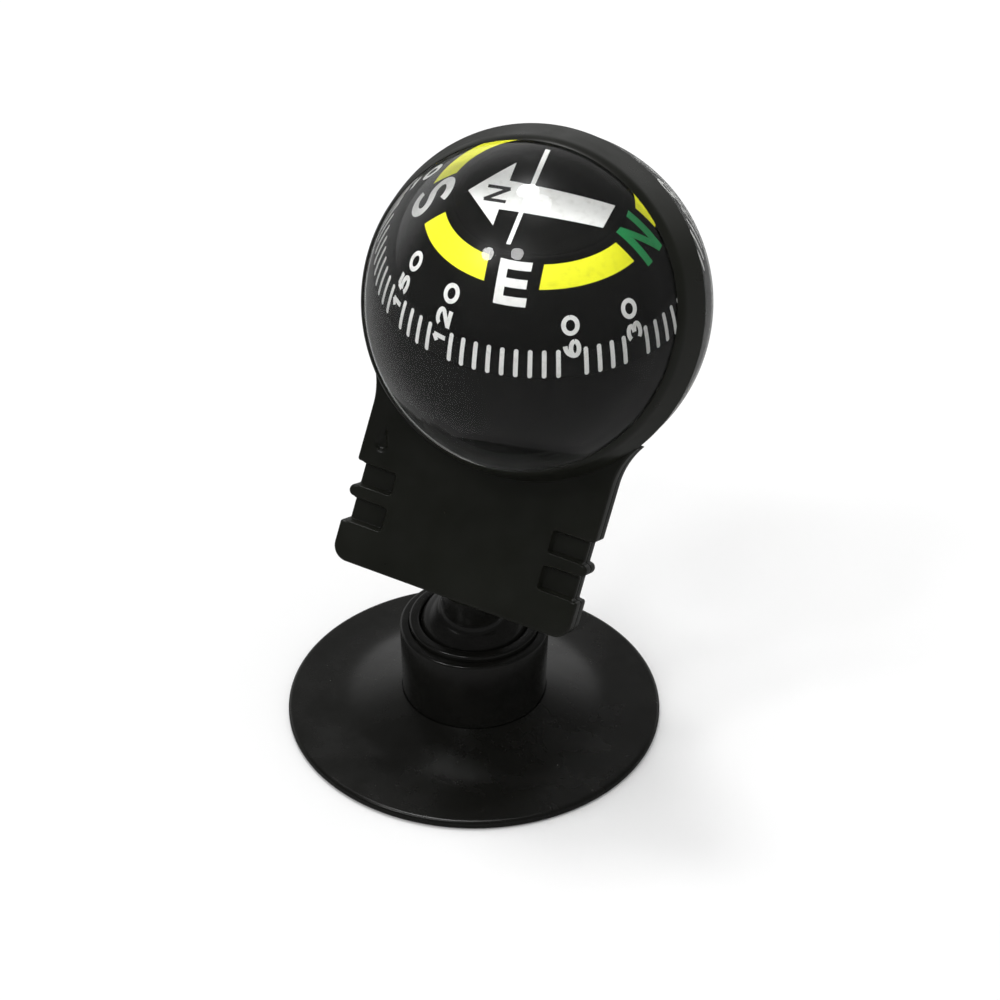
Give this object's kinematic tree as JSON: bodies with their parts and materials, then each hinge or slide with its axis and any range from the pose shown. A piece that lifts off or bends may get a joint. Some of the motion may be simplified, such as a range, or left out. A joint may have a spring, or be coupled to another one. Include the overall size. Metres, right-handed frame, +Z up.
{
  "type": "dashboard compass",
  "caption": "Car dashboard compass: liquid-filled clear ball with a floating card, in a flat frame on a ball joint and suction cup.",
  "frame": {"origin": "centre of the suction cup's rim, on the surface that the cup stands on", "axes": "+Z up out of the cup; the frame that holds the ball faces -Y, and its top leans back towards +Y"},
  "size_m": [0.047, 0.051, 0.0748],
  "materials": {
    "cup_rubber": "satin black soft vinyl",
    "gloss_black": "glossy black moulded plastic",
    "satin_black": "black moulded plastic with a soft shine",
    "clear_plastic": "clear polished plastic",
    "card_black": "black plastic printed in white, yellow and green",
    "nylon": "natural nylon",
    "steel": "zinc plated",
    "magnet": "bare ferrite"
  },
  "bodies": {
    "base": {"suction_cup": "cup_rubber", "socket_housing": "gloss_black", "socket_ring": "gloss_black"},
    "lining": {"ball_lining": "nylon"},
    "stud": {"ball_stud": "gloss_black"},
    "head": {"front_frame": "satin_black", "rear_frame": "satin_black", "frame_screw_1": "steel", "frame_screw_2": "steel", "frame_screw_3": "steel", "frame_screw_4": "steel", "front_dome": "clear_plastic", "rear_dome": "clear_plastic", "dome_seal": "cup_rubber", "filling_plug": "gloss_black"},
    "card": {"card_upper": "card_black", "card_lower": "card_black", "magnet_tray": "nylon", "card_magnet": "magnet", "card_ballast": "steel"}
  },
  "joints": [
    {"name": "head_swivel", "type": "hinge", "parent": "base", "child": "lining", "pos_m": [0, 0, 0.01125], "axis": [0, 0, 1], "continuous": true},
    {"name": "head_tilt", "type": "hinge", "parent": "lining", "child": "stud", "pos_m": [0, 0, 0.01125], "axis": [1, 0, 0], "range_deg": [-45, 20]},
    {"name": "head_turn", "type": "hinge", "parent": "stud", "child": "head", "pos_m": [0, 0, 0.01125], "axis": [0.0902, -0.2147, 0.9725], "continuous": true},
    {"name": "card_spin", "type": "hinge", "parent": "head", "child": "card", "pos_m": [0.00403, 0.00855, 0.05473], "axis": [0, 0, 1], "continuous": true}
  ]
}
